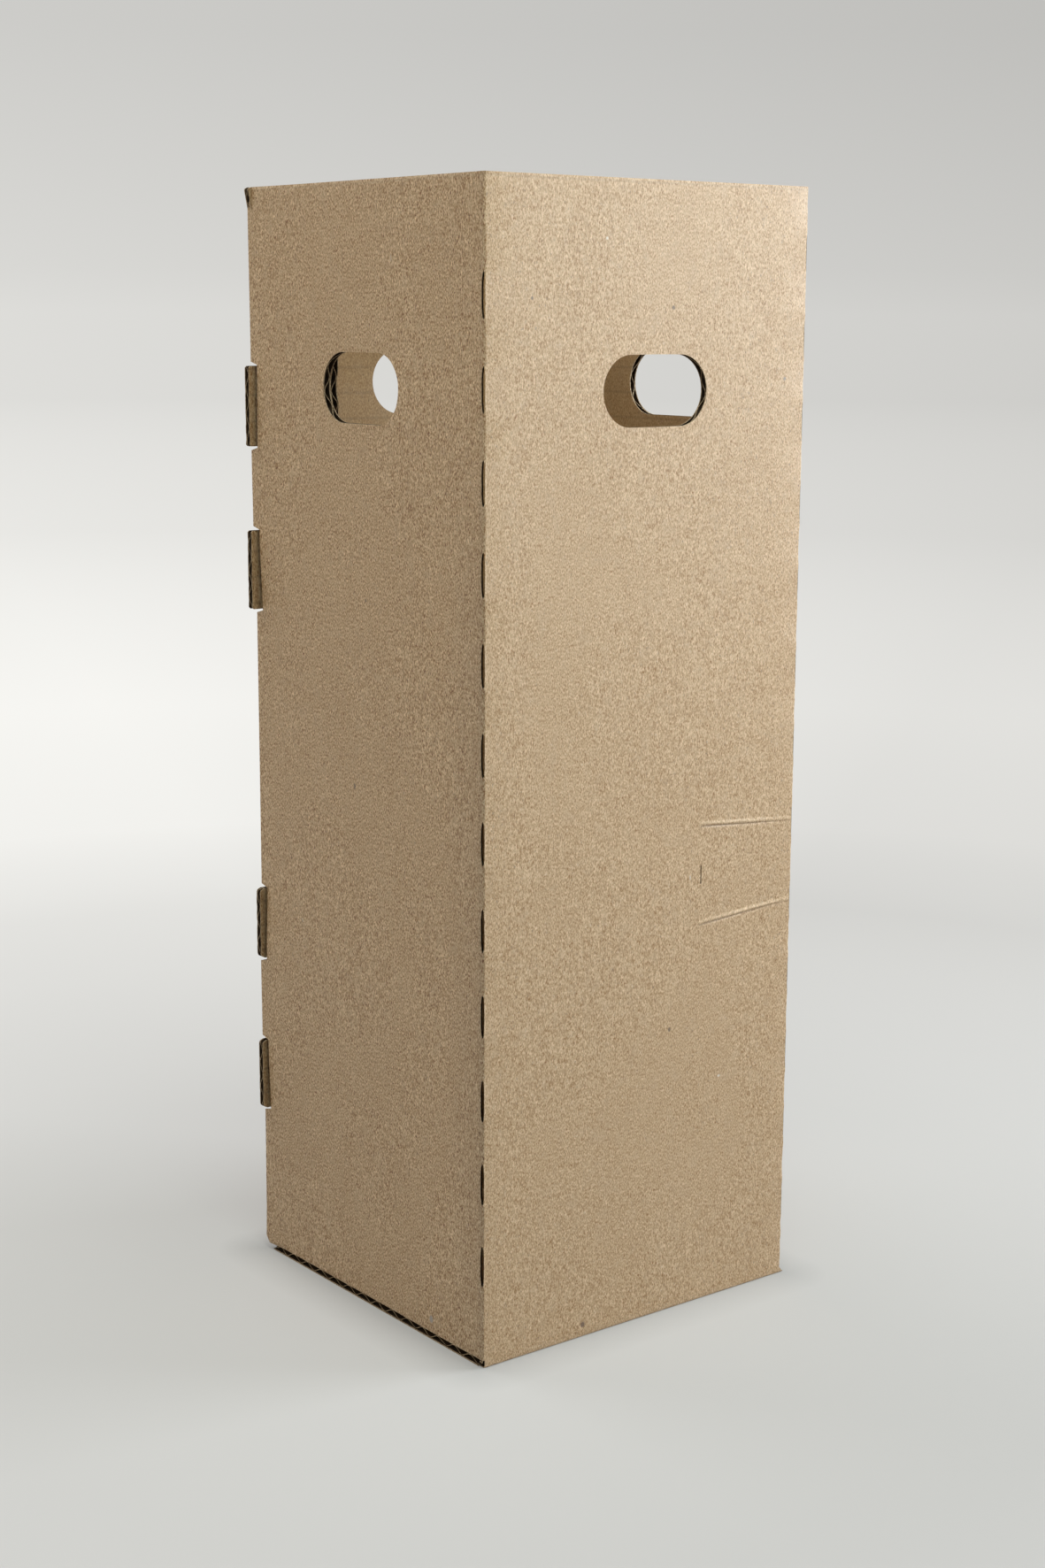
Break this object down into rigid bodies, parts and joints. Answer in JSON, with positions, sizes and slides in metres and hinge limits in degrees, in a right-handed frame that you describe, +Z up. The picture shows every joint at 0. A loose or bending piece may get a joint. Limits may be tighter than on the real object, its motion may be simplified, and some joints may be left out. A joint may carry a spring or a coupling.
{
  "type": "tall cardboard box",
  "caption": "Tall square box folded from corrugated board, open at the top, with hand holes in its walls, a tabbed corner joint and a hinged bottom flap.",
  "frame": {"origin": "middle of the footprint, on the surface that the box stands on", "axes": "+Z up to the open rim, the front wall faces -Y, and the wall with the tab joint faces -X"},
  "size_m": [0.124, 0.1186, 0.34],
  "materials": {
    "kraft_board": "matt uncoated kraft liner",
    "kraft_board_flap": "matt uncoated kraft liner"
  },
  "bodies": {
    "walls": {"wall_sleeve": "kraft_board"},
    "flap": {"bottom_flap": "kraft_board_flap"}
  },
  "joints": [
    {"name": "bottom_flap_fold", "type": "hinge", "parent": "walls", "child": "flap", "pos_m": [0.00085, -0.05925, 0], "axis": [-1, 0, 0], "range_deg": [0, 180]}
  ]
}
